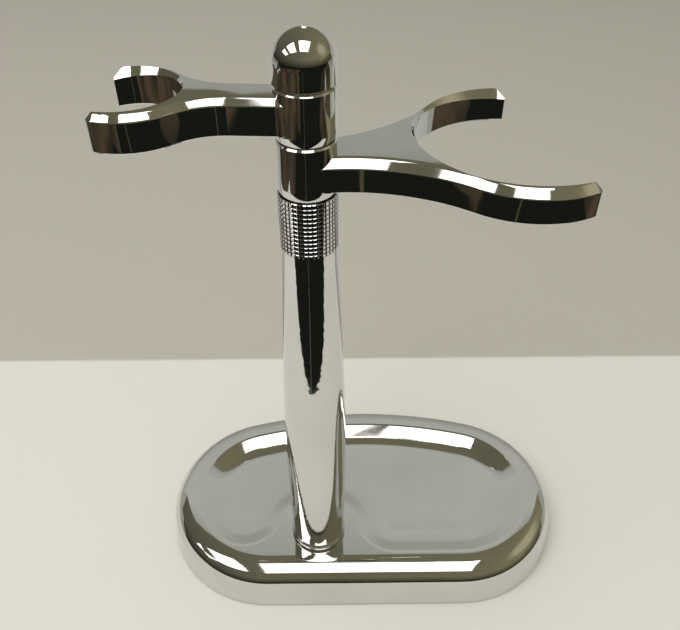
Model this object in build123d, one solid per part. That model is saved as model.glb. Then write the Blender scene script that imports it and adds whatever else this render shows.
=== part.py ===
"""Razor and brush stand: a weighted oval dish base, a turned post and two swivelling forks under a domed cap.

Millimetres, +Z up. The origin is the middle of the base, on the surface that the stand rests on.
The straight edge of the base faces -Y, and both forks reach over the dish, to either side of the post.
"""

import os
from math import acos, atan2, cos, degrees, hypot, radians, sin, sqrt, tan

from build123d import *

# Base casting: three arcs and a straight front edge
BASE_LENGTH = 92.6
BASE_DEPTH = 52.2
END_RADIUS = 24.6  # each rounded end of the oval
RIM_HEIGHT = 10.2
SHOULDER_INSET = 6.25  # top of the shoulder, from the foot of the outer side
SHOULDER_TOP_RADIUS = 6.5
SHOULDER_SIDE_RADIUS = 4.7
SHOULDER_TURN = 34.0  # degrees from level, where the two radii meet
SHOULDER_END = 84.0  # degrees from level, where the shoulder meets the drafted side
BASE_LIFT = 0.4  # the casting stands clear of the table on its pad

# Dish, sunk into the top of the base
DISH_INSET = 6.6  # crest of the dish, from the foot of the outer side
DISH_DEPTH = 2.4
DISH_SLOPE = 26.0  # degrees, steepest part of the slope down from the rim
DISH_EDGE_RADIUS = 2.0
DISH_FLOOR_RADIUS = 9.0
POST_LAND_RADIUS = 9.0  # flat land left standing around the foot of the post
POST_LAND_FILLET = 8.5  # sweep of the land into the front rim

# Underside of the base
BASE_WALL = 2.4
CAVITY_HEIGHT = 5.4
PAD_THICKNESS = 1.2
PAD_GAP = 0.1
BALLAST_THICKNESS = 4.0
BALLAST_WINDOW_RADIUS = 6.5

# Post and what holds it down
POST_X = -10.5
POST_Y = -12.9
FOOT_RADIUS = 6.0
FOOT_HEIGHT = 1.5
POST_TOP = 88.7
POST_TOP_RADIUS = 4.57
POST_WAIST_RADIUS = 5.65
POST_PROFILE = [(5.98, 25.9), (6.08, 37.9), (5.9, 51.9), (5.42, 65.9), (4.93, 77.9)]
SPIGOT_RADIUS = 3.0
SPIGOT_HEIGHT = 9.2
SCREW_RADIUS = 2.0
SCREW_CLEARANCE = 0.25
SCREW_DEPTH = 12.0  # thread in the foot of the post
SCREW_END_GAP = 1.0
SCREW_HEAD_RADIUS = 3.6
SCREW_HEAD_HEIGHT = 2.0
LOCK_WASHER_THICKNESS = 0.6
LOCK_WASHER_SPLIT = 1.0
SLOT_WIDTH = 1.0
SLOT_DEPTH = 0.9
WASHER_THICKNESS = 0.5
WASHER_RADIUS = 4.5
WASHER_CLEARANCE = 0.1

# Knurled collar
COLLAR_RADIUS = 4.66
COLLAR_TOP = 98.4
KNURL_ROWS = 13
KNURL_COLUMNS = 40
RING_GROOVE = (0.3, 0.19)  # width at the surface, depth
UPRIGHT_GROOVE = (0.3, 0.2)

# Stud, friction washers and cap
STUD_RADIUS = 2.0
STUD_BOTTOM = 78.0
STUD_END_GAP = 0.5  # left above the stud in the cap
RUNNING_GAP = 0.05
FRICTION_WASHER = 0.2
FRICTION_WASHER_RADIUS = 3.6
CAP_RADIUS = 4.57
CAP_SIDE = 2.9  # upright side of the cap, below the dome
CAP_HOLE_DEPTH = 5.0

# Forks
HUB_ROUND_HEIGHT = 1.5  # the foot of each hub curves in slightly, to a sharp seam
HUB_ROUND_INSET = 0.23
HUB_CHAMFER = 0.25
HUB_BLEND = 3.0
BOTTOM_BREAK = 0.3
TIP_ROUND = 1.5
BEVEL_TOP_ROUND = 1.0
BEVEL_FOOT_ROUND = 0.3
# Each fork in its own plan, where the arm runs along +X from the post's axis.
BRUSH_FORK = {
    "azimuth": 10.1,
    "hub_radius": 4.57,
    "hub_height": 8.4,
    "arm_rise": 1.2,
    "thickness": 5.3,
    "neck": 4.3,
    "neck_x": 0.0,
    "throat": 15.85,
    "throat_x": 32.7,
    "tine": 2.8,
    "tips_x": (36.6, 38.4),
    "outer_radius": 15.0,
    "bevel": 1.3,
    "root_bevel": 0.4,
}
RAZOR_FORK = {
    "azimuth": 177.1,
    "hub_radius": 4.47,
    "hub_height": 7.6,
    "arm_rise": 1.15,
    "thickness": 5.6,
    "neck": 3.45,
    "neck_x": 10.5,
    "throat": 7.3,
    "throat_x": 24.7,
    "tine": 2.3,
    "tips_x": (28.3, 28.6),
    "outer_radius": 9.7,
    "bevel": 1.05,
    "root_bevel": 0.4,
}

OVERLAP = 0.01  # shared by two solids that are joined
TOUCH = 0.01  # two lengths closer than this are the same
CLEAR = 1.0  # how far a cutter runs past the face that it cuts

DISH_FLOOR = RIM_HEIGHT - DISH_DEPTH
BRUSH_HUB_BOTTOM = COLLAR_TOP + FRICTION_WASHER
RAZOR_HUB_BOTTOM = BRUSH_HUB_BOTTOM + BRUSH_FORK["hub_height"] + FRICTION_WASHER
CAP_BOTTOM = RAZOR_HUB_BOTTOM + RAZOR_FORK["hub_height"] + FRICTION_WASHER


def at_post(z=0.0):
    """Location on the post's axis at height z."""
    return Location((POST_X, POST_Y, z))


def disc(radius, bottom, height, hole=0.0):
    """Upright round plate or ring on the post's axis."""
    solid = extrude(Plane.XY * Circle(radius), amount=height)
    if hole:
        solid -= extrude(Plane.XY * Circle(hole), amount=height)
    return at_post(bottom) * solid


def arc(centre, radius, start, end):
    """Arc about centre from one angle to another, in degrees, clockwise when end is less than start."""
    return CenterArc(centre, radius, start, end - start)


def bearing(start, end):
    """Angle of the line from start to end, in degrees from 0 to 360."""
    return degrees(atan2(end[1] - start[1], end[0] - start[0])) % 360


# The long back arc of the oval is tangent inside to both end arcs.
END_X = BASE_LENGTH / 2 - END_RADIUS
END_Y = END_RADIUS - BASE_DEPTH / 2
BACK_RISE = BASE_DEPTH - END_RADIUS
BACK_RADIUS = (END_X**2 + BACK_RISE**2 - END_RADIUS**2) / (2 * (BACK_RISE - END_RADIUS))
BACK_CENTRE = (0, BASE_DEPTH / 2 - BACK_RADIUS)
RIGHT_END = (END_X, END_Y)
LEFT_END = (-END_X, END_Y)
POST_PLACE = (POST_X, POST_Y)
BACK_TOUCH = bearing(BACK_CENTRE, RIGHT_END)


def oval(inset):
    """Outline of the base, moved inwards by inset, as a face."""
    front = inset - BASE_DEPTH / 2
    with BuildSketch() as sketch:
        with BuildLine():
            Line((-END_X, front), (END_X, front))
            arc(RIGHT_END, END_RADIUS - inset, -90, BACK_TOUCH)
            arc(BACK_CENTRE, BACK_RADIUS - inset, BACK_TOUCH, 180 - BACK_TOUCH)
            arc(LEFT_END, END_RADIUS - inset, 180 - BACK_TOUCH, 270)
        make_face()
    return sketch.sketch


def land_corners(inset):
    """Centres of the two sweeps between the land round the post and the rim, left then right."""
    reach = POST_LAND_RADIUS + POST_LAND_FILLET
    drop = POST_LAND_FILLET + inset - BASE_DEPTH / 2 - POST_Y
    right = (POST_X + sqrt(reach**2 - drop**2), POST_Y + drop)
    swing = END_RADIUS - inset - POST_LAND_FILLET
    apart = hypot(END_X + POST_X, END_Y - POST_Y)
    along = (reach**2 - swing**2 + apart**2) / (2 * apart)
    turn = bearing(POST_PLACE, LEFT_END) + degrees(acos(along / reach))
    left = (POST_X + reach * cos(radians(turn)), POST_Y + reach * sin(radians(turn)))
    return left, right


def dish_outline(offset):
    """Crest line of the dish, moved inwards by offset: the oval, less a land left round the post."""
    left, right = land_corners(DISH_INSET)
    inset = DISH_INSET + offset
    front = inset - BASE_DEPTH / 2
    sweep_radius = POST_LAND_FILLET - offset
    left_touch = bearing(LEFT_END, left)
    with BuildSketch() as sketch:
        with BuildLine():
            Line((right[0], front), (END_X, front))
            arc(RIGHT_END, END_RADIUS - inset, -90, BACK_TOUCH)
            arc(BACK_CENTRE, BACK_RADIUS - inset, BACK_TOUCH, 180 - BACK_TOUCH)
            arc(LEFT_END, END_RADIUS - inset, 180 - BACK_TOUCH, left_touch)
            arc(left, sweep_radius, left_touch, bearing(left, POST_PLACE) + 360)
            land_start = bearing(POST_PLACE, left)
            land_end = bearing(POST_PLACE, right) - 360
            arc(POST_PLACE, POST_LAND_RADIUS + offset, land_start, land_end)
            arc(right, sweep_radius, bearing(right, POST_PLACE), 270)
        make_face()
    return sketch.sketch


def swept(outline, section):
    """Solid made by carrying a section round the edge of an outline face."""
    return sweep(section, path=outline.faces()[0].outer_wire())


def shoulder_arc(top, radius, start, end):
    """Arc down the shoulder from its point top, between two slopes in degrees from level."""
    x, z = top
    centre = (x + radius * sin(radians(start)), z - radius * cos(radians(start)))
    return arc(centre, radius, 90 + start, 90 + end)


def rim_section(inner):
    """Section of the drafted outer side, rounded shoulder and crest, drawn inwards from the front edge."""
    start = Plane(origin=(-END_X, -BASE_DEPTH / 2, 0), x_dir=(0, 1, 0), z_dir=(1, 0, 0))
    crest = (SHOULDER_INSET, RIM_HEIGHT)
    with BuildSketch(start) as sketch:
        with BuildLine():
            upper = shoulder_arc(crest, SHOULDER_TOP_RADIUS, 0, SHOULDER_TURN)
            turn = ((upper @ 1).X, (upper @ 1).Y)
            lower = shoulder_arc(turn, SHOULDER_SIDE_RADIUS, SHOULDER_TURN, SHOULDER_END)
            Polyline(lower @ 1, (0, BASE_LIFT), (inner, BASE_LIFT), (inner, RIM_HEIGHT), crest)
        make_face()
    return sketch.sketch


def slope_run():
    """Widths of the rounded edge, the straight slope and the rounded foot of the slope into the dish."""
    edge = DISH_EDGE_RADIUS * sin(radians(DISH_SLOPE))
    foot = DISH_FLOOR_RADIUS * sin(radians(DISH_SLOPE))
    rounded_drop = (DISH_EDGE_RADIUS + DISH_FLOOR_RADIUS) * (1 - cos(radians(DISH_SLOPE)))
    straight = (DISH_DEPTH - rounded_drop) / tan(radians(DISH_SLOPE))
    return edge, straight, foot


def slope_section(plane):
    """Section of the metal taken away over the slope, from the crest line inwards."""
    edge, straight, foot = slope_run()
    run = edge + straight + foot
    clear = RIM_HEIGHT + CLEAR
    with BuildSketch(plane) as sketch:
        with BuildLine():
            arc((0, RIM_HEIGHT - DISH_EDGE_RADIUS), DISH_EDGE_RADIUS, 90, 90 - DISH_SLOPE)
            edge_end = (edge, RIM_HEIGHT - DISH_EDGE_RADIUS * (1 - cos(radians(DISH_SLOPE))))
            foot_start = (edge + straight, DISH_FLOOR + DISH_FLOOR_RADIUS * (1 - cos(radians(DISH_SLOPE))))
            Line(edge_end, foot_start)
            arc((run, DISH_FLOOR + DISH_FLOOR_RADIUS), DISH_FLOOR_RADIUS, 270 - DISH_SLOPE, 270)
            Polyline((run, DISH_FLOOR), (run, clear), (0, clear), (0, RIM_HEIGHT))
        make_face()
    return sketch.sketch


def dish_cutter():
    """Everything removed to sink the dish into the top of the base."""
    left, right = land_corners(DISH_INSET)
    start = Plane(origin=(right[0], DISH_INSET - BASE_DEPTH / 2, 0), x_dir=(0, 1, 0), z_dir=(1, 0, 0))
    slope = swept(dish_outline(0), slope_section(start))
    run = sum(slope_run())
    floor = extrude(dish_outline(run - OVERLAP), amount=DISH_DEPTH + CLEAR)
    return slope + Pos(0, 0, DISH_FLOOR) * floor


def base_casting():
    """Die-cast oval base: hollow below, dished above, drilled for the post's screw."""
    core_inset = DISH_INSET + sum(slope_run()) + 2 * CLEAR
    body = swept(oval(0), rim_section(core_inset))
    body += extrude(Pos(0, 0, BASE_LIFT) * oval(core_inset - OVERLAP), amount=RIM_HEIGHT - BASE_LIFT)
    body -= dish_cutter()
    body -= extrude(oval(BASE_WALL), amount=CAVITY_HEIGHT)
    return body - disc(SCREW_RADIUS + SCREW_CLEARANCE, 0, RIM_HEIGHT + CLEAR)


def base_pad():
    """Soft non-slip sheet that the stand rests on."""
    return extrude(oval(BASE_WALL + PAD_GAP), amount=PAD_THICKNESS)


def ballast_plate():
    """Steel plate that weights the base, with a window round the screw's head."""
    plate = extrude(Pos(0, 0, PAD_THICKNESS) * oval(BASE_WALL + PAD_GAP), amount=BALLAST_THICKNESS)
    return plate - disc(BALLAST_WINDOW_RADIUS, 0, CAVITY_HEIGHT + CLEAR)


def post_screw(head_top):
    """Cheese-head screw, from its slotted head up into the foot of the post."""
    head = disc(SCREW_HEAD_RADIUS, head_top - SCREW_HEAD_HEIGHT, SCREW_HEAD_HEIGHT)
    slot = Box(3 * SCREW_HEAD_RADIUS, SLOT_WIDTH, 2 * SLOT_DEPTH)
    head -= at_post(head_top - SCREW_HEAD_HEIGHT) * slot
    return head + disc(SCREW_RADIUS, head_top, RIM_HEIGHT + SCREW_DEPTH - SCREW_END_GAP - head_top)


def lock_washer(bottom):
    """Split spring washer under the screw's head."""
    ring = disc(SCREW_HEAD_RADIUS, bottom, LOCK_WASHER_THICKNESS, SCREW_RADIUS + WASHER_CLEARANCE)
    reach = SCREW_HEAD_RADIUS + CLEAR
    split = Pos(reach / 2, 0) * Box(reach, LOCK_WASHER_SPLIT, 3 * LOCK_WASHER_THICKNESS)
    return ring - at_post(bottom) * split


def post():
    """Turned post: rounded foot, slender swelling, and a spigot that carries the collar and the stud."""
    foot_top = RIM_HEIGHT + FOOT_HEIGHT
    lip = FOOT_HEIGHT / 2
    with BuildSketch(Plane.XZ) as sketch:
        with BuildLine():
            foot = (FOOT_RADIUS - lip, RIM_HEIGHT)
            Line((0, RIM_HEIGHT), foot)
            ThreePointArc(foot, (FOOT_RADIUS, RIM_HEIGHT + lip), (POST_WAIST_RADIUS, foot_top))
            Spline(
                (POST_WAIST_RADIUS, foot_top),
                *POST_PROFILE,
                (POST_TOP_RADIUS, POST_TOP),
            )
            spigot_top = POST_TOP + SPIGOT_HEIGHT
            Polyline(
                (POST_TOP_RADIUS, POST_TOP),
                (SPIGOT_RADIUS, POST_TOP),
                (SPIGOT_RADIUS, spigot_top),
                (0, spigot_top),
                (0, RIM_HEIGHT),
            )
        make_face()
    body = at_post() * revolve(sketch.sketch, axis=Axis.Z)
    body -= disc(SCREW_RADIUS, RIM_HEIGHT, SCREW_DEPTH)
    return body - disc(STUD_RADIUS, STUD_BOTTOM, POST_TOP + SPIGOT_HEIGHT - STUD_BOTTOM)


def knurl_notch(width, depth):
    """Outline of a V groove that opens outwards through the collar's surface."""
    bottom = (COLLAR_RADIUS - depth, 0)
    mouth = COLLAR_RADIUS + depth
    return Polyline(bottom, (mouth, width), (mouth, -width), close=True)


def knurled_collar():
    """Ring on the post's spigot, cut all over into square pads by rings of grooves and by upright grooves."""
    height = COLLAR_TOP - POST_TOP
    pitch = height / KNURL_ROWS
    ring = disc(COLLAR_RADIUS, POST_TOP, height, SPIGOT_RADIUS)
    ring_groove = make_face(Plane.XZ * knurl_notch(*RING_GROOVE))
    for row in range(KNURL_ROWS + 1):
        ring -= at_post(POST_TOP + row * pitch) * revolve(ring_groove, axis=Axis.Z)
    upright = extrude(make_face(knurl_notch(*UPRIGHT_GROOVE)), amount=height)
    turns = [Rot(0, 0, 360 * column / KNURL_COLUMNS) for column in range(KNURL_COLUMNS)]
    return ring - [at_post(POST_TOP) * turn * upright for turn in turns]


def stud():
    """Threaded rod from the top of the post, through both hubs and into the cap."""
    return disc(STUD_RADIUS, STUD_BOTTOM, CAP_BOTTOM + CAP_HOLE_DEPTH - STUD_END_GAP - STUD_BOTTOM)


def friction_washer(bottom):
    """Thin washer between two turning faces."""
    return disc(FRICTION_WASHER_RADIUS, bottom, FRICTION_WASHER, STUD_RADIUS + RUNNING_GAP)


def cap():
    """Domed cap nut with a blind hole for the stud."""
    dome_base = CAP_BOTTOM + CAP_SIDE
    with BuildSketch(Plane.XZ) as sketch:
        with BuildLine():
            Polyline(
                (0, dome_base + CAP_RADIUS),
                (0, CAP_BOTTOM),
                (CAP_RADIUS - HUB_CHAMFER, CAP_BOTTOM),
                (CAP_RADIUS, CAP_BOTTOM + HUB_CHAMFER),
                (CAP_RADIUS, dome_base),
            )
            arc((0, dome_base), CAP_RADIUS, 0, 90)
        make_face()
    body = at_post() * revolve(sketch.sketch, axis=Axis.Z)
    return body - disc(STUD_RADIUS + RUNNING_GAP, CAP_BOTTOM, CAP_HOLE_DEPTH)


def hub(radius, height):
    """Hub on the Z axis, drawn in a little at its foot and lightly chamfered above, before its bore."""
    with BuildSketch(Plane.XZ) as sketch:
        with BuildLine():
            foot = (radius - HUB_ROUND_INSET, 0)
            TangentArc((radius, HUB_ROUND_HEIGHT), foot, tangent=(0, -1))
            Polyline(
                (radius, HUB_ROUND_HEIGHT),
                (radius, height - HUB_CHAMFER),
                (radius - HUB_CHAMFER, height),
                (0, height),
                (0, 0),
                foot,
            )
        make_face()
    return revolve(sketch.sketch, axis=Axis.Z)


def half_outline(size, tip_x):
    """Left half of a fork's plan: a neck that sweeps out into one tine of the round throat."""
    outer = size["throat"] + size["tine"]
    length = size["throat_x"] - size["neck_x"]
    swell = outer - size["neck"]
    # The hollow side of the neck and the round side of the tine meet at a common tangent.
    both = (length**2 + swell**2) / (2 * swell)
    neck_radius = both - size["outer_radius"]
    hollow = (size["neck_x"], size["neck"] + neck_radius)
    round_side = (size["throat_x"], outer - size["outer_radius"])
    turn = degrees(atan2(length, both - swell))
    past = tip_x - size["throat_x"]
    with BuildSketch() as sketch:
        with BuildLine():
            Line((0, 0), (0, size["neck"]))
            if size["neck_x"] > 0:
                Line((0, size["neck"]), (size["neck_x"], size["neck"]))
            arc(hollow, neck_radius, -90, turn - 90)
            outer_end = degrees(acos(past / size["outer_radius"]))
            outer_arc = arc(round_side, size["outer_radius"], 90 + turn, outer_end)
            inner_arc = arc((size["throat_x"], 0), size["throat"], degrees(acos(past / size["throat"])), 180)
            Line(outer_arc @ 1, inner_arc @ 0)
            Line(inner_arc @ 1, (0, 0))
        make_face()
    return sketch.sketch


def fork_outline(size):
    """Plan of a fork, with its hub."""
    left_tip, right_tip = size["tips_x"]
    return half_outline(size, left_tip) + mirror(half_outline(size, right_tip), about=Plane.XZ)


def throat_bevel(size):
    """Cone that bevels the throat's upper edge: thin at the root, as wide as the outer bevel on the tines."""
    shift = size["bevel"] - size["root_bevel"]
    radius = size["throat"] + size["bevel"]
    cone = Cone(0, radius, radius, align=(Align.CENTER, Align.CENTER, Align.MAX))
    return Pos(size["throat_x"] + shift, 0, size["thickness"]) * cone


def arm_outline(size):
    """Plan of a fork with its hub blended in and the outer corners of its tips rounded."""
    outline = fork_outline(size) + Circle(size["hub_radius"])
    hub_joins = [v for v in outline.vertices() if 0 < v.X < size["hub_radius"]]
    outline = fillet(hub_joins, radius=HUB_BLEND)
    tips = [v for v in outline.vertices() if v.X > min(size["tips_x"]) - TOUCH]
    outer_tips = [v for v in tips if not on_throat(v, size)]
    return fillet(outer_tips, radius=TIP_ROUND)


def outer_edges(face, size):
    """Edges of a level face, except for those on the round of the throat."""
    return [edge for edge in face.edges() if not on_throat(edge @ 0.5, size)]


def fork_arm(size):
    """Arm of a fork, with a softened bevel above and lightly broken edges below, without its hub."""
    arm = extrude(arm_outline(size), amount=size["thickness"])
    arm = chamfer(outer_edges(arm.faces().sort_by(Axis.Z)[-1], size), size["bevel"])
    foot_of_bevel = size["thickness"] - size["bevel"]
    low = [e for e in arm.edges() if all(abs(v.Z - foot_of_bevel) < TOUCH for v in e.vertices())]
    arm = fillet(low, BEVEL_FOOT_ROUND)
    arm = fillet(outer_edges(arm.faces().sort_by(Axis.Z)[-1], size), BEVEL_TOP_ROUND)
    arm -= throat_bevel(size)
    underside = arm.faces().sort_by(Axis.Z)[0]
    return chamfer(underside.edges(), BOTTOM_BREAK)


def on_throat(point, size):
    """True for a point on the round wall of the throat."""
    return abs(hypot(point.X - size["throat_x"], point.Y) - size["throat"]) < TOUCH


def fork(size, hub_bottom):
    """Whole fork in place: hub, arm and bore, turned to its own direction about the post."""
    body = hub(size["hub_radius"], size["hub_height"])
    body += Pos(0, 0, size["arm_rise"]) * fork_arm(size)
    body -= extrude(Circle(STUD_RADIUS + RUNNING_GAP), amount=size["hub_height"])
    return at_post(hub_bottom) * Rot(0, 0, size["azimuth"]) * body


def parts():
    """Every separate piece, by the name of its node."""
    washer_bottom = CAVITY_HEIGHT - WASHER_THICKNESS
    washer_bore = SCREW_RADIUS + WASHER_CLEARANCE
    head_top = washer_bottom - LOCK_WASHER_THICKNESS
    return {
        "base_casting": base_casting(),
        "base_pad": base_pad(),
        "ballast_plate": ballast_plate(),
        "post_screw": post_screw(head_top),
        "lock_washer": lock_washer(head_top),
        "flat_washer": disc(WASHER_RADIUS, washer_bottom, WASHER_THICKNESS, washer_bore),
        "post": post(),
        "knurled_collar": knurled_collar(),
        "stud": stud(),
        "lower_friction_washer": friction_washer(COLLAR_TOP),
        "brush_fork": fork(BRUSH_FORK, BRUSH_HUB_BOTTOM),
        "middle_friction_washer": friction_washer(RAZOR_HUB_BOTTOM - FRICTION_WASHER),
        "razor_fork": fork(RAZOR_FORK, RAZOR_HUB_BOTTOM),
        "upper_friction_washer": friction_washer(CAP_BOTTOM - FRICTION_WASHER),
        "domed_cap": cap(),
    }


def main():
    os.makedirs("parts", exist_ok=True)
    for name, solid in parts().items():
        export_step(solid, f"parts/{name}.step")


main()
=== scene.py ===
"""Looks for the razor and brush stand: chrome, knurling, plated steel, rubber and nylon, on a pale table.

Metres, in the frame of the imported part: the middle of the base is at the origin, the table is at z = 0 and
the straight front edge of the base faces -Y.
"""

from math import radians

import bpy
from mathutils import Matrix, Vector


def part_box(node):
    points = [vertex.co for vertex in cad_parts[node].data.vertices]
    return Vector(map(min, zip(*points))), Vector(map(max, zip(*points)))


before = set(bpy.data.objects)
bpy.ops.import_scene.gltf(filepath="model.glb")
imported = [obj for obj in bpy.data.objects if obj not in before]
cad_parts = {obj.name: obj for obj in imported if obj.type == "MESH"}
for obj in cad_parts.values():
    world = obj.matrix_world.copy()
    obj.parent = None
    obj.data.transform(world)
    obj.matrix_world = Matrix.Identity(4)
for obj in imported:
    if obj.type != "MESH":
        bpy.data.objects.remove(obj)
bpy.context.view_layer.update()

# Finishes: a grey is one number, a colour is three, and a ramp is a list of (place, grey or colour)
CHROME_TINT = (0.70, 0.70, 0.69)
CHROME_ROUGHNESS = [(0.35, 0.035), (0.75, 0.075)]
CLOUD_SHADES = [(0.3, 0.95), (0.7, 1.03)]  # shares of the tint
# Painted shade in the knurled grooves: the chrome's colour darkens with depth below the crests
KNURL_FLOOR = 0.0002  # depth at which the painted shade in the grooves is darkest
KNURL_BRINK = 0.00008  # depth at which the painted shade in the grooves begins
KNURL_PAINTED_SHADE = 0.12
KNURL_UNSHADED = 0.70
ZINC_COLOUR = (0.60, 0.60, 0.57)
BALLAST_COLOUR = (0.38, 0.37, 0.36)
SPANGLE_SHADES = [(0.0, 1.0), (0.8, 0.75)]  # shares of the colour
GRAIN_ROUGHNESS = [(0.3, -0.08), (0.7, 0.1)]  # added to the roughness of the metal
GRAIN_FINENESS = 4  # grains to a spangle
RUBBER_COLOURS = [(0.3, (0.028, 0.028, 0.03)), (0.7, (0.05, 0.05, 0.052))]
RUBBER_ROUGHNESS = [(0.0, 0.95), (1.0, 0.75)]
NYLON_COLOURS = [(0.3, (0.56, 0.54, 0.47)), (0.7, (0.66, 0.64, 0.57))]
NYLON_ROUGHNESS = [(0.3, 0.4), (0.7, 0.55)]

# Camera
CAMERA_PLACE = (-0.00670, -0.10766, 0.15154)
CAMERA_PITCH = 39.35  # degrees below level
CAMERA_TURN = -0.67  # degrees, anticlockwise from +Y
CAMERA_LENS = 37.3  # millimetres, as is the sensor
SENSOR_WIDTH = 36.0
CLIP_START = 0.005

# Table, wall and lamp
FLOOR_SIZE = 6.0  # half the side of the floor, and of the cards round the table
TABLE_FAR = 0.0555  # where the table meets the wall
TABLE_COLOUR = (0.75, 0.74, 0.69)
TABLE_ROUGHNESS = 0.7
WALL_COLOUR = (0.49, 0.475, 0.425)
WALL_LINE = 0.0006  # half the width over which one turns to the other
LAMP_PLACE = (-0.3, -0.25, 0.9)
LAMP_AIM = (0, 0, 0.05)
LAMP_SIZE = 0.8
LAMP_POWER = 6.0
LAMP_COLOUR = (1, 0.98, 0.95)

# Room, as only the chrome sees it
TABLE_NEAR = -0.086  # near edge of the table
TABLE_LEFT = -0.185
TABLE_RIGHT = 0.17
WALL_LEFT = -0.120
WALL_RIGHT = 0.126
WALL_HEIGHT = 0.142
# Tones up the wall, with painted shade darkening it near the table; it is darker at the top as well
WALL_TONES_AND_SHADE = [
    (0.0, (0.30, 0.30, 0.27)),
    (0.25, (0.50, 0.505, 0.455)),
    (0.7, (0.52, 0.525, 0.475)),
    (1.0, (0.38, 0.385, 0.34)),
]
LEDGE_HEIGHT = 0.055  # a lower ledge goes on past both ends of the wall
LEDGE_END = 1.2
LEDGE_COLOUR = (0.38, 0.385, 0.34)
CARD_LIFT = 0.0004  # between the table and the cards on it, and between one card and the next
BLACK = (0.010, 0.012, 0.009)
BROWN_TONES = [(0.40, (0.088, 0.062, 0.036)), (0.60, (0.028, 0.025, 0.017))]
BROWN_AREAS = {  # left, right, near and far ends, and the number of lifts
    "right brown": (0.19, 0.60, -0.16, TABLE_NEAR, 2),
    "far brown": (-0.17, -0.085, -0.34, -0.235, 3),
    "left brown": (-0.60, -0.135, -0.90, TABLE_NEAR, 2),
}
STRAP_LEFT = -0.024  # pale strap that lies across the dark, in front of the table
STRAP_RIGHT = -0.019
STRAP_NEAR = -0.60
STRAP_COLOUR = (0.09, 0.085, 0.045)
ROOM_LEFT = (0.10, 0.095, 0.068)
ROOM_RIGHT = (0.24, 0.22, 0.13)
HORIZON_DIM = 0.25  # share of the room's light that is left at the horizon
FULL_LIGHT = 0.4  # sine of the angle above the horizon from which it is full
PANEL_HEIGHT = 1.0
PANEL_NEAR = -0.75
PANEL_FAR = -0.05
PANELS = [(-0.185, 0.34), (-0.95, -0.42), (-1.80, -1.25)]  # left and right ends of each
PANEL_COLOUR = (1.0, 0.98, 0.94)
PANEL_STRENGTH = 2.6
LIGHT_ENDS = (-0.0145, -0.0065)  # small light over the wall, seen at the top of the dome
LIGHT_BOTTOM = 0.145
LIGHT_TOP = 0.172
LIGHT_LEAN = 0.008  # it leans back, so that the dish sees it edge on
GLOW_COLOUR = (0.46, 0.41, 0.27)  # warm light on the right
GLOW_X = 1.0
GLOW_ENDS = (-0.55, 0.44)
GLOW_BOTTOM = 0.32
GLOW_TOP = 1.37
GLOW_MIDDLE = (GLOW_X, -0.055, 0.845)
GLOW_CORE = 0.22  # distances from the middle at which the glow begins to fade and is gone
GLOW_REACH = 0.48

# Sockets of a Mix node that mixes colours. By name they can't be told from its other sockets.
MIX_A = 6
MIX_B = 7
MIX_RESULT = 2


# ---------------------------------------------------------------- node trees

def rgba(tone):
    """Solid colour from a grey or from red, green and blue."""
    colour = tone if isinstance(tone, tuple) else (tone, tone, tone)
    return (*colour, 1)


def shades(colour, shares):
    """Ramp of one colour, from (place, share of the colour)."""
    return [(place, tuple(share * part for part in colour)) for place, share in shares]


class Nodes:
    """A node tree, with short ways to add to it."""

    def __init__(self, tree):
        self.tree = tree
        self.link = tree.links.new

    def add(self, kind, **values):
        """New node, with its input values and settings."""
        node = self.tree.nodes.new(kind)
        for key, value in values.items():
            if key in node.inputs:
                node.inputs[key].default_value = value
            else:
                setattr(node, key, value)
        return node

    def place(self):
        """Where a point of the surface is, in the shared frame."""
        return self.add("ShaderNodeTexCoord").outputs["Object"]

    def split(self, vector):
        """The X, Y and Z of a vector, as outputs of one node."""
        node = self.add("ShaderNodeSeparateXYZ")
        self.link(vector, node.inputs["Vector"])
        return node.outputs

    def texture(self, kind, **values):
        """Texture laid in the shared frame."""
        node = self.add(kind, **values)
        self.link(self.place(), node.inputs["Vector"])
        return node

    def distance(self, vector, point):
        """How far a vector is from a fixed point."""
        node = self.add("ShaderNodeVectorMath", operation="DISTANCE")
        node.inputs[1].default_value = point
        self.link(vector, node.inputs[0])
        return node.outputs["Value"]

    def rescale(self, value, low, high, start=0.0, end=1.0):
        """A value that runs from start to end as the given one runs from low to high."""
        spans = {"From Min": low, "From Max": high, "To Min": start, "To Max": end}
        node = self.add("ShaderNodeMapRange", **spans)
        self.link(value, node.inputs["Value"])
        return node.outputs["Result"]

    def ramp(self, value, stops):
        """Colour ramp over a value."""
        node = self.add("ShaderNodeValToRGB")
        self.link(value, node.inputs["Fac"])
        elements = node.color_ramp.elements
        while len(elements) < len(stops):
            elements.new(0.5)  # moved to its own place below
        for element, (place, tone) in zip(elements, stops):
            element.position = place
            element.color = rgba(tone)
        return node.outputs["Color"]


class Finish(Nodes):
    """Nodes of a new material, with its shader."""

    def __init__(self, name, metallic=0.0):
        self.material = bpy.data.materials.new(name)
        self.material.use_nodes = True
        super().__init__(self.material.node_tree)
        self.shader = self.tree.nodes["Principled BSDF"]
        self.shader.inputs["Metallic"].default_value = metallic

    def drive(self, name, value):
        """Link a value to one of the shader's inputs."""
        self.link(value, self.shader.inputs[name])

    def bump(self, height, strength, distance):
        """Fine relief from a height."""
        node = self.add("ShaderNodeBump", Strength=strength, Distance=distance)
        self.link(height, node.inputs["Height"])
        self.drive("Normal", node.outputs["Normal"])


# ---------------------------------------------------------------- materials

def polished(name, wave, wave_scale):
    """Polished metal with a faint haze and a slight waviness, its colour still to be set."""
    finish = Finish(name, metallic=1.0)
    haze = finish.texture("ShaderNodeTexNoise", Scale=140.0, Detail=5.0, Roughness=0.6)
    finish.drive("Roughness", finish.ramp(haze.outputs["Fac"], CHROME_ROUGHNESS))
    waves = finish.texture("ShaderNodeTexNoise", Scale=wave_scale, Detail=1.0)
    finish.bump(waves.outputs["Fac"], strength=wave, distance=0.001)
    return finish


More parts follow.
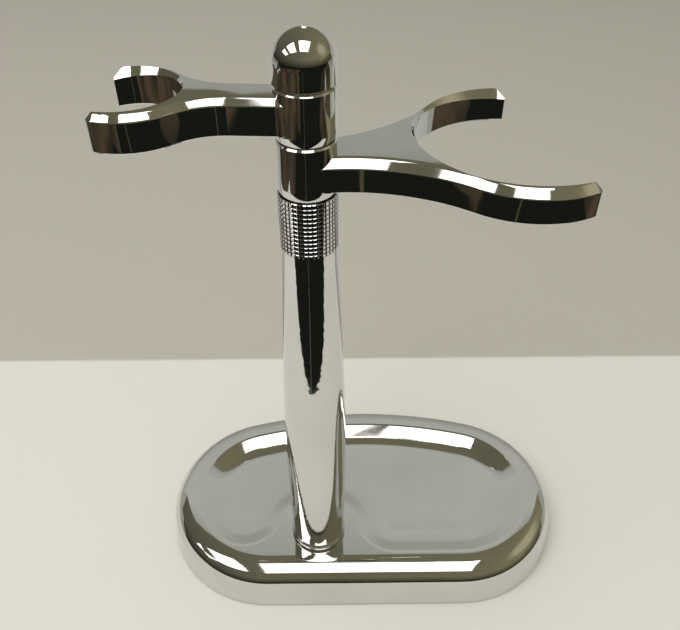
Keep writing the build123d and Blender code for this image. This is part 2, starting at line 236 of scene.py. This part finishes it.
def chrome(name, wave, wave_scale):
    """Polished chrome with cloudy wear."""
    finish = polished(name, wave, wave_scale)
    cloud = finish.texture("ShaderNodeTexNoise", Scale=60.0, Detail=3.0)
    finish.drive("Base Color", finish.ramp(cloud.outputs["Fac"], shades(CHROME_TINT, CLOUD_SHADES)))
    return finish.material


def knurled_chrome_with_painted_shade():
    """Chrome with painted shade that darkens it towards the bottom of the knurled grooves."""
    finish = polished("knurled chrome with painted shade", wave=0.02, wave_scale=90.0)
    low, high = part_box("knurled_collar")
    middle = (low + high) / 2
    radius = (high.x - low.x) / 2
    flat = finish.add("ShaderNodeVectorMath", operation="MULTIPLY")
    flat.inputs[1].default_value = (1, 1, 0)
    finish.link(finish.place(), flat.inputs[0])
    away = finish.distance(flat.outputs["Vector"], (middle.x, middle.y, 0))
    # painted shade, darker towards the bottom of the grooves
    shade = finish.rescale(away, radius - KNURL_FLOOR, radius - KNURL_BRINK, KNURL_PAINTED_SHADE, KNURL_UNSHADED)
    finish.drive("Base Color", shade)
    return finish.material


def plated_steel(name, colour, roughness, scale):
    """Zinc-plated or bare steel with a crystalline mottle and fine grain."""
    finish = Finish(name, metallic=1.0)
    spangle = finish.texture("ShaderNodeTexVoronoi", Scale=scale)
    finish.drive("Base Color", finish.ramp(spangle.outputs["Distance"], shades(colour, SPANGLE_SHADES)))
    grain = finish.texture("ShaderNodeTexNoise", Scale=GRAIN_FINENESS * scale, Detail=6.0)
    span = [(place, roughness + change) for place, change in GRAIN_ROUGHNESS]
    finish.drive("Roughness", finish.ramp(grain.outputs["Fac"], span))
    finish.bump(grain.outputs["Fac"], strength=0.15, distance=0.0001)
    return finish.material


def pad_rubber():
    """Dark foam rubber with fine open cells."""
    finish = Finish("pad rubber")
    cells = finish.texture("ShaderNodeTexVoronoi", Scale=2600.0)
    blotch = finish.texture("ShaderNodeTexNoise", Scale=120.0, Detail=4.0)
    finish.drive("Base Color", finish.ramp(blotch.outputs["Fac"], RUBBER_COLOURS))
    finish.drive("Roughness", finish.ramp(cells.outputs["Distance"], RUBBER_ROUGHNESS))
    finish.bump(cells.outputs["Distance"], strength=0.6, distance=0.0002)
    return finish.material


def nylon():
    """Natural nylon, faintly mottled."""
    finish = Finish("friction nylon")
    mottle = finish.texture("ShaderNodeTexNoise", Scale=700.0, Detail=3.0)
    finish.drive("Base Color", finish.ramp(mottle.outputs["Fac"], NYLON_COLOURS))
    finish.drive("Roughness", finish.ramp(mottle.outputs["Fac"], NYLON_ROUGHNESS))
    finish.bump(mottle.outputs["Fac"], strength=0.1, distance=0.0001)
    return finish.material


def paint_nodes():
    """Gives every CAD node its material."""
    forged = chrome("fork chrome", wave=0.14, wave_scale=95.0)
    turned = chrome("turned chrome", wave=0.03, wave_scale=60.0)
    zinc = plated_steel("zinc steel", ZINC_COLOUR, roughness=0.34, scale=900.0)
    washer = nylon()
    finishes = {
        "base_casting": chrome("cast chrome", wave=0.10, wave_scale=70.0),
        "base_pad": pad_rubber(),
        "ballast_plate": plated_steel("ballast steel", BALLAST_COLOUR, roughness=0.5, scale=300.0),
        "post_screw": zinc,
        "lock_washer": zinc,
        "flat_washer": zinc,
        "post": turned,
        "knurled_collar": knurled_chrome_with_painted_shade(),
        "stud": zinc,
        "lower_friction_washer": washer,
        "brush_fork": forged,
        "middle_friction_washer": washer,
        "razor_fork": forged,
        "upper_friction_washer": washer,
        "domed_cap": turned,
    }
    for name, material in finishes.items():
        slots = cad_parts[name].data.materials
        slots.clear()
        slots.append(material)


# ---------------------------------------------------------------- stage

def level(x0, x1, y0, y1, z):
    """Corners of a level rectangle."""
    return [(x0, y0, z), (x1, y0, z), (x1, y1, z), (x0, y1, z)]


def upright(x0, x1, y, z0, z1):
    """Corners of an upright rectangle that faces along Y."""
    return [(x0, y, z0), (x1, y, z0), (x1, y, z1), (x0, y, z1)]


def plane(name, corners, material):
    """Flat four-cornered stage piece."""
    mesh = bpy.data.meshes.new(name)
    mesh.from_pydata(corners, [], [(0, 1, 2, 3)])
    mesh.materials.append(material)
    piece = bpy.data.objects.new(name, mesh)
    bpy.context.scene.collection.objects.link(piece)
    return piece


def card(name, corners, paint, strength=1.0):
    """Glowing card that only the chrome sees. Its paint is a colour, or a function that adds nodes."""
    finish = Finish(name)
    glow = finish.add("ShaderNodeEmission", Strength=strength)
    if callable(paint):
        finish.link(paint(finish), glow.inputs["Color"])
    else:
        glow.inputs["Color"].default_value = rgba(paint)
    finish.link(glow.outputs["Emission"], finish.tree.nodes["Material Output"].inputs["Surface"])
    piece = plane(name, corners, finish.material)
    piece.visible_camera = False
    piece.visible_diffuse = False
    piece.visible_shadow = False


def wall_tones_and_shade(nodes):
    """The wall: darker near the table, where shade is painted, and darker at the top."""
    height = nodes.split(nodes.place())["Z"]
    return nodes.ramp(nodes.rescale(height, 0, WALL_HEIGHT), WALL_TONES_AND_SHADE)


def brown_tones(nodes):
    """Wooden things in the dark part of the room, as soft brown patches."""
    noise = nodes.texture("ShaderNodeTexNoise", Scale=9.0, Detail=1.0)
    return nodes.ramp(noise.outputs["Fac"], BROWN_TONES)


def glow_tones(nodes):
    """Warm light on the right, soft at its edges."""
    away = nodes.distance(nodes.place(), GLOW_MIDDLE)
    return nodes.ramp(away, [(GLOW_CORE, GLOW_COLOUR), (GLOW_REACH, ROOM_RIGHT)])


def floor():
    """Pale table that turns to the colour of the wall behind the stand."""
    finish = Finish("table")
    depth = finish.split(finish.place())["Y"]
    beyond = finish.rescale(depth, TABLE_FAR - WALL_LINE, TABLE_FAR + WALL_LINE)
    finish.drive("Base Color", finish.ramp(beyond, [(0, TABLE_COLOUR), (1, WALL_COLOUR)]))
    finish.shader.inputs["Roughness"].default_value = TABLE_ROUGHNESS
    plane("floor", level(-FLOOR_SIZE, FLOOR_SIZE, -FLOOR_SIZE, FLOOR_SIZE, 0), finish.material)


def back_cards():
    """The wall behind the stand, the ledges beside it and the small light over it."""
    card("wall card", upright(WALL_LEFT, WALL_RIGHT, TABLE_FAR, 0, WALL_HEIGHT), wall_tones_and_shade)
    for inner, outer in ((WALL_LEFT, -LEDGE_END), (WALL_RIGHT, LEDGE_END)):
        card("ledge", upright(inner, outer, TABLE_FAR, 0, LEDGE_HEIGHT), LEDGE_COLOUR)
    low = [(x, TABLE_FAR, LIGHT_BOTTOM) for x in LIGHT_ENDS]
    high = [(x, TABLE_FAR + LIGHT_LEAN, LIGHT_TOP) for x in reversed(LIGHT_ENDS)]
    card("wall light", low + high, PANEL_COLOUR, PANEL_STRENGTH)


def table_cards():
    """The dark room in front of the table and to its sides."""
    card("front card", level(-FLOOR_SIZE, FLOOR_SIZE, -FLOOR_SIZE, TABLE_NEAR, CARD_LIFT), BLACK)
    card("left card", level(-FLOOR_SIZE, TABLE_LEFT, TABLE_NEAR, TABLE_FAR, CARD_LIFT), brown_tones)
    card("right card", level(TABLE_RIGHT, FLOOR_SIZE, TABLE_NEAR, TABLE_FAR, CARD_LIFT), brown_tones)
    for name, (x0, x1, y0, y1, lifts) in BROWN_AREAS.items():
        card(name, level(x0, x1, y0, y1, lifts * CARD_LIFT), brown_tones)
    card("front strap", level(STRAP_LEFT, STRAP_RIGHT, STRAP_NEAR, TABLE_NEAR, 2 * CARD_LIFT), STRAP_COLOUR)


def light_cards():
    """Three ceiling panels, and the warm glow on the right."""
    for left, right in PANELS:
        panel = level(left, right, PANEL_NEAR, PANEL_FAR, PANEL_HEIGHT)
        card("ceiling panel", panel, PANEL_COLOUR, PANEL_STRENGTH)
    low = [(GLOW_X, y, GLOW_BOTTOM) for y in GLOW_ENDS]
    high = [(GLOW_X, y, GLOW_TOP) for y in reversed(GLOW_ENDS)]
    card("side glow", low + high, glow_tones)


def room():
    """Light from all round: pale, but for the chrome warmer on the right and dark low down."""
    world = bpy.data.worlds.new("room")
    bpy.context.scene.world = world
    world.use_nodes = True
    nodes = Nodes(world.node_tree)
    where = nodes.split(nodes.add("ShaderNodeTexCoord").outputs["Generated"])
    tones = nodes.ramp(nodes.rescale(where["X"], -1, 1), [(0, ROOM_LEFT), (1, ROOM_RIGHT)])
    dimmed = nodes.add("ShaderNodeVectorMath", operation="SCALE")
    nodes.link(tones, dimmed.inputs[0])
    nodes.link(nodes.rescale(where["Z"], 0, FULL_LIGHT, start=HORIZON_DIM), dimmed.inputs["Scale"])
    mix = nodes.add("ShaderNodeMix", data_type="RGBA")
    mix.inputs[MIX_A].default_value = rgba(WALL_COLOUR)
    nodes.link(dimmed.outputs["Vector"], mix.inputs[MIX_B])
    nodes.link(nodes.add("ShaderNodeLightPath").outputs["Is Glossy Ray"], mix.inputs["Factor"])
    nodes.link(mix.outputs[MIX_RESULT], nodes.tree.nodes["Background"].inputs["Color"])


def lamp():
    """Soft square light aimed at the stand, which the chrome doesn't see."""
    data = bpy.data.lights.new("ceiling light", "AREA")
    data.shape = "SQUARE"
    data.size = LAMP_SIZE
    data.energy = LAMP_POWER
    data.color = LAMP_COLOUR
    light = bpy.data.objects.new("ceiling light", data)
    light.location = LAMP_PLACE
    light.rotation_euler = (Vector(LAMP_AIM) - Vector(LAMP_PLACE)).to_track_quat("-Z", "Y").to_euler()
    light.visible_glossy = False
    bpy.context.scene.collection.objects.link(light)


def camera():
    """Camera in front of the stand, looking down at it."""
    data = bpy.data.cameras.new("camera")
    data.lens = CAMERA_LENS
    data.sensor_width = SENSOR_WIDTH
    data.clip_start = CLIP_START
    eye = bpy.data.objects.new("camera", data)
    eye.location = CAMERA_PLACE
    eye.rotation_euler = (radians(90 - CAMERA_PITCH), 0, radians(CAMERA_TURN))
    bpy.context.scene.collection.objects.link(eye)
    bpy.context.scene.camera = eye


paint_nodes()
floor()
back_cards()
table_cards()
light_cards()
room()
lamp()
camera()
bpy.context.scene.view_settings.view_transform = "Standard"
